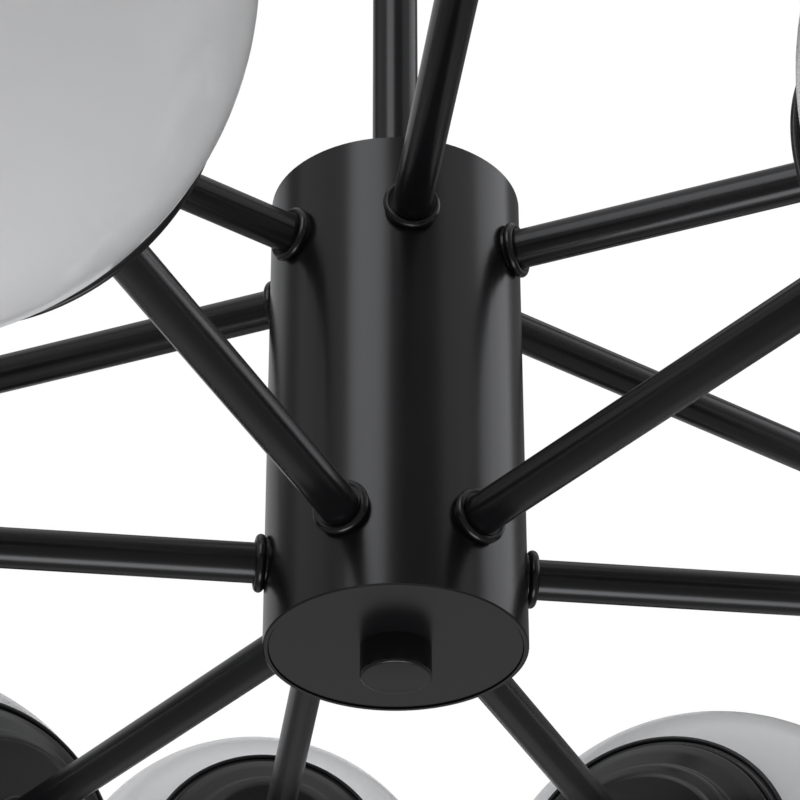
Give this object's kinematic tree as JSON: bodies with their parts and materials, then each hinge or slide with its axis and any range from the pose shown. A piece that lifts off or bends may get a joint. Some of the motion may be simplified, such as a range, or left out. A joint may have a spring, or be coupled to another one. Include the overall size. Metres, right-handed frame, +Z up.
{
  "type": "sputnik chandelier",
  "caption": "Rod-hung sputnik chandelier: straight arms in two tiers round a drum hub, each with a stepped metal cup and an opal glass globe.",
  "frame": {"origin": "centre of the crossbar's upper face, on the ceiling", "axes": "+Z up, out of the ceiling plane; +X along the crossbar and its screw slots; the first long arm points along -Y"},
  "size_m": [0.9216, 1.0406, 0.8538],
  "materials": {
    "black_powder_coat": "satin black powder coat",
    "opal_glass": "white opal glass, satin etched",
    "zinc_plated_steel": "zinc plated",
    "white_ceramic": "glazed lamp holder ceramic",
    "bulb_glass": "frosted capsule"
  },
  "bodies": {
    "ceiling_mount": {"ceiling_crossbar": "zinc_plated_steel", "canopy_studs": "zinc_plated_steel", "canopy_cap_nuts": "black_powder_coat", "canopy": "black_powder_coat", "swivel_stem": "black_powder_coat", "stem_nut": "zinc_plated_steel"},
    "swivel": {"swivel_head": "black_powder_coat", "swivel_pins": "zinc_plated_steel"},
    "fixture": {"swivel_tongue": "black_powder_coat", "rod_upper": "black_powder_coat", "rod_joiner": "zinc_plated_steel", "rod_lower": "black_powder_coat", "hub_tube": "black_powder_coat", "hub_top_cap": "black_powder_coat", "tie_rod": "zinc_plated_steel", "tie_rod_nut": "zinc_plated_steel", "hub_arm_nuts": "zinc_plated_steel", "hub_collars": "black_powder_coat", "cup_collars": "black_powder_coat", "cup_nuts": "zinc_plated_steel", "lamp_holders": "white_ceramic", "bulbs": "bulb_glass", "upper_arm_1": "black_powder_coat", "upper_arm_2": "black_powder_coat", "upper_arm_3": "black_powder_coat", "upper_arm_4": "black_powder_coat", "upper_arm_5": "black_powder_coat", "upper_arm_6": "black_powder_coat", "lower_arm_1": "black_powder_coat", "lower_arm_2": "black_powder_coat", "lower_arm_3": "black_powder_coat", "lower_arm_4": "black_powder_coat", "lower_arm_5": "black_powder_coat", "lower_arm_6": "black_powder_coat", "upper_cup_1": "black_powder_coat", "upper_cup_2": "black_powder_coat", "upper_cup_3": "black_powder_coat", "upper_cup_4": "black_powder_coat", "upper_cup_5": "black_powder_coat", "upper_cup_6": "black_powder_coat", "lower_cup_1": "black_powder_coat", "lower_cup_2": "black_powder_coat", "lower_cup_3": "black_powder_coat", "lower_cup_4": "black_powder_coat", "lower_cup_5": "black_powder_coat", "lower_cup_6": "black_powder_coat"},
    "bottom_cap": {"hub_bottom_cap": "black_powder_coat"},
    "finial": {"finial_knob": "black_powder_coat"},
    "upper_globe_1": {"upper_globe_1": "opal_glass"},
    "upper_globe_2": {"upper_globe_2": "opal_glass"},
    "upper_globe_3": {"upper_globe_3": "opal_glass"},
    "upper_globe_4": {"upper_globe_4": "opal_glass"},
    "upper_globe_5": {"upper_globe_5": "opal_glass"},
    "upper_globe_6": {"upper_globe_6": "opal_glass"},
    "lower_globe_1": {"lower_globe_1": "opal_glass"},
    "lower_globe_2": {"lower_globe_2": "opal_glass"},
    "lower_globe_3": {"lower_globe_3": "opal_glass"},
    "lower_globe_4": {"lower_globe_4": "opal_glass"},
    "lower_globe_5": {"lower_globe_5": "opal_glass"},
    "lower_globe_6": {"lower_globe_6": "opal_glass"}
  },
  "joints": [
    {"name": "swivel_turn", "type": "hinge", "parent": "ceiling_mount", "child": "swivel", "pos_m": [0, 0, -0.0273], "axis": [0, 0, 1], "range_deg": [-170, 170]},
    {"name": "swivel_tilt", "type": "hinge", "parent": "swivel", "child": "fixture", "pos_m": [0, 0, -0.0473], "axis": [1, 0, 0], "range_deg": [-45, 45]},
    {"name": "cap_drop", "type": "slide", "parent": "fixture", "child": "bottom_cap", "axis": [0, 0, -1], "range_m": [0, 0.005]},
    {"name": "knob_unscrew", "type": "hinge", "parent": "bottom_cap", "child": "finial", "pos_m": [0, 0, -0.8004], "axis": [0, 0, -1], "range_deg": [0, 1800]},
    {"name": "upper_globe_1_turn", "type": "hinge", "parent": "fixture", "child": "upper_globe_1", "pos_m": [0, -0.3805, -0.6863], "axis": [0, -1, 0], "range_deg": [0, 540]},
    {"name": "upper_globe_2_turn", "type": "hinge", "parent": "fixture", "child": "upper_globe_2", "pos_m": [0.32952, -0.19025, -0.6863], "axis": [0.866, -0.5, 0], "range_deg": [0, 540]},
    {"name": "upper_globe_3_turn", "type": "hinge", "parent": "fixture", "child": "upper_globe_3", "pos_m": [0.32952, 0.19025, -0.6863], "axis": [0.866, 0.5, 0], "range_deg": [0, 540]},
    {"name": "upper_globe_4_turn", "type": "hinge", "parent": "fixture", "child": "upper_globe_4", "pos_m": [0, 0.3805, -0.6863], "axis": [0, 1, 0], "range_deg": [0, 540]},
    {"name": "upper_globe_5_turn", "type": "hinge", "parent": "fixture", "child": "upper_globe_5", "pos_m": [-0.32952, 0.19025, -0.6863], "axis": [-0.866, 0.5, 0], "range_deg": [0, 540]},
    {"name": "upper_globe_6_turn", "type": "hinge", "parent": "fixture", "child": "upper_globe_6", "pos_m": [-0.32952, -0.19025, -0.6863], "axis": [-0.866, -0.5, 0], "range_deg": [0, 540]},
    {"name": "lower_globe_1_turn", "type": "hinge", "parent": "fixture", "child": "lower_globe_1", "pos_m": [0.10025, -0.17364, -0.7778], "axis": [0.5, -0.866, 0], "range_deg": [0, 540]},
    {"name": "lower_globe_2_turn", "type": "hinge", "parent": "fixture", "child": "lower_globe_2", "pos_m": [0.2005, 0, -0.7778], "axis": [1, 0, 0], "range_deg": [0, 540]},
    {"name": "lower_globe_3_turn", "type": "hinge", "parent": "fixture", "child": "lower_globe_3", "pos_m": [0.10025, 0.17364, -0.7778], "axis": [0.5, 0.866, 0], "range_deg": [0, 540]},
    {"name": "lower_globe_4_turn", "type": "hinge", "parent": "fixture", "child": "lower_globe_4", "pos_m": [-0.10025, 0.17364, -0.7778], "axis": [-0.5, 0.866, 0], "range_deg": [0, 540]},
    {"name": "lower_globe_5_turn", "type": "hinge", "parent": "fixture", "child": "lower_globe_5", "pos_m": [-0.2005, 0, -0.7778], "axis": [-1, 0, 0], "range_deg": [0, 540]},
    {"name": "lower_globe_6_turn", "type": "hinge", "parent": "fixture", "child": "lower_globe_6", "pos_m": [-0.10025, -0.17364, -0.7778], "axis": [-0.5, -0.866, 0], "range_deg": [0, 540]}
  ],
  "couplings": [
    {"joint": "knob_unscrew", "follows": "cap_drop", "rad_per_m": 6283}
  ]
}
